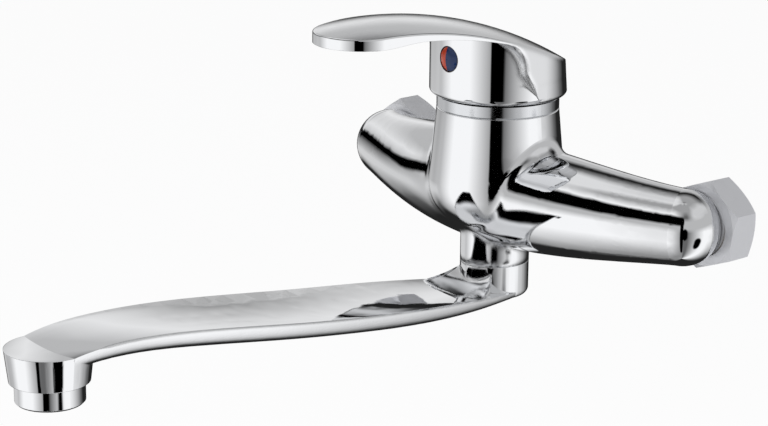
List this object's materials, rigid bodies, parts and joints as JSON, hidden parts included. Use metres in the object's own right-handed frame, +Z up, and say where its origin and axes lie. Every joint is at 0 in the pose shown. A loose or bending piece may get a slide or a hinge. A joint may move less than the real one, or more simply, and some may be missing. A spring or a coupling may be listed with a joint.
{
  "type": "wall-mounted kitchen mixer",
  "caption": "Wall-mounted single-lever kitchen mixer: crescent body on two union nuts, flat lever above, long dished swivel spout below.",
  "frame": {"origin": "midway between the two inlets, on their axis height, in the plane of the union nuts' wall-side faces", "axes": "+X to the right as the user sees it, +Y into the wall, +Z up; lever and spout point to -Y"},
  "size_m": [0.1787, 0.2314, 0.1049],
  "materials": {
    "chrome": "polished chrome plate on brass",
    "nut_chrome": "plain chrome plate on brass",
    "satin_chrome": "satin chrome plate",
    "brass": "turned brass",
    "steel": "stainless steel",
    "rubber": "moulded rubber",
    "ceramic": "lapped ceramic",
    "cartridge_plastic": "moulded plastic",
    "slide_plastic": "moulded plastic",
    "sieve_plastic": "moulded plastic",
    "indicator_plastic": "gloss, red left half and blue right half"
  },
  "bodies": {
    "mixer": {"mixer_body": "chrome", "inlet_nipple_left": "brass", "inlet_nipple_right": "brass", "union_washer_left": "rubber", "union_washer_right": "rubber", "cartridge_base": "cartridge_plastic", "base_seals": "rubber", "fixed_disc": "ceramic", "cartridge_housing": "cartridge_plastic", "cartridge_nut": "brass", "trim_ring": "satin_chrome", "spout_screw": "steel"},
    "turret": {"cartridge_turret": "cartridge_plastic", "stem_pin": "steel"},
    "lever": {"handle": "chrome", "handle_screw": "steel", "indicator_button": "indicator_plastic", "cartridge_stem": "brass"},
    "slide": {"moving_disc": "ceramic", "disc_carrier": "cartridge_plastic"},
    "swivel_spout": {"spout": "chrome", "spout_o_rings": "rubber", "spout_slide_ring": "slide_plastic", "aerator_housing": "satin_chrome", "aerator_insert": "sieve_plastic", "aerator_washer": "rubber"},
    "nut_left": {"union_nut_left": "nut_chrome"},
    "nut_right": {"union_nut_right": "nut_chrome"}
  },
  "joints": [
    {"name": "temperature", "type": "hinge", "parent": "mixer", "child": "turret", "pos_m": [0, -0.033, 0.0273], "axis": [0, 0, 1], "range_deg": [-45, 45]},
    {"name": "lever_lift", "type": "hinge", "parent": "turret", "child": "lever", "pos_m": [0, -0.033, 0.0273], "axis": [-1, 0, 0], "range_deg": [0, 25]},
    {"name": "disc_slide", "type": "slide", "parent": "turret", "child": "slide", "axis": [0, -1, 0], "range_m": [0, 0.0045]},
    {"name": "spout_swivel", "type": "hinge", "parent": "mixer", "child": "swivel_spout", "pos_m": [0, -0.033, -0.0243], "axis": [0, 0, 1], "range_deg": [-90, 90]},
    {"name": "nut_left_turn", "type": "hinge", "parent": "mixer", "child": "nut_left", "pos_m": [-0.075, -0.0055, 0], "axis": [0, 1, 0], "continuous": true},
    {"name": "nut_right_turn", "type": "hinge", "parent": "mixer", "child": "nut_right", "pos_m": [0.075, -0.0055, 0], "axis": [0, 1, 0], "continuous": true}
  ],
  "couplings": [
    {"joint": "disc_slide", "follows": "lever_lift", "m_per_rad": 0.00925}
  ]
}
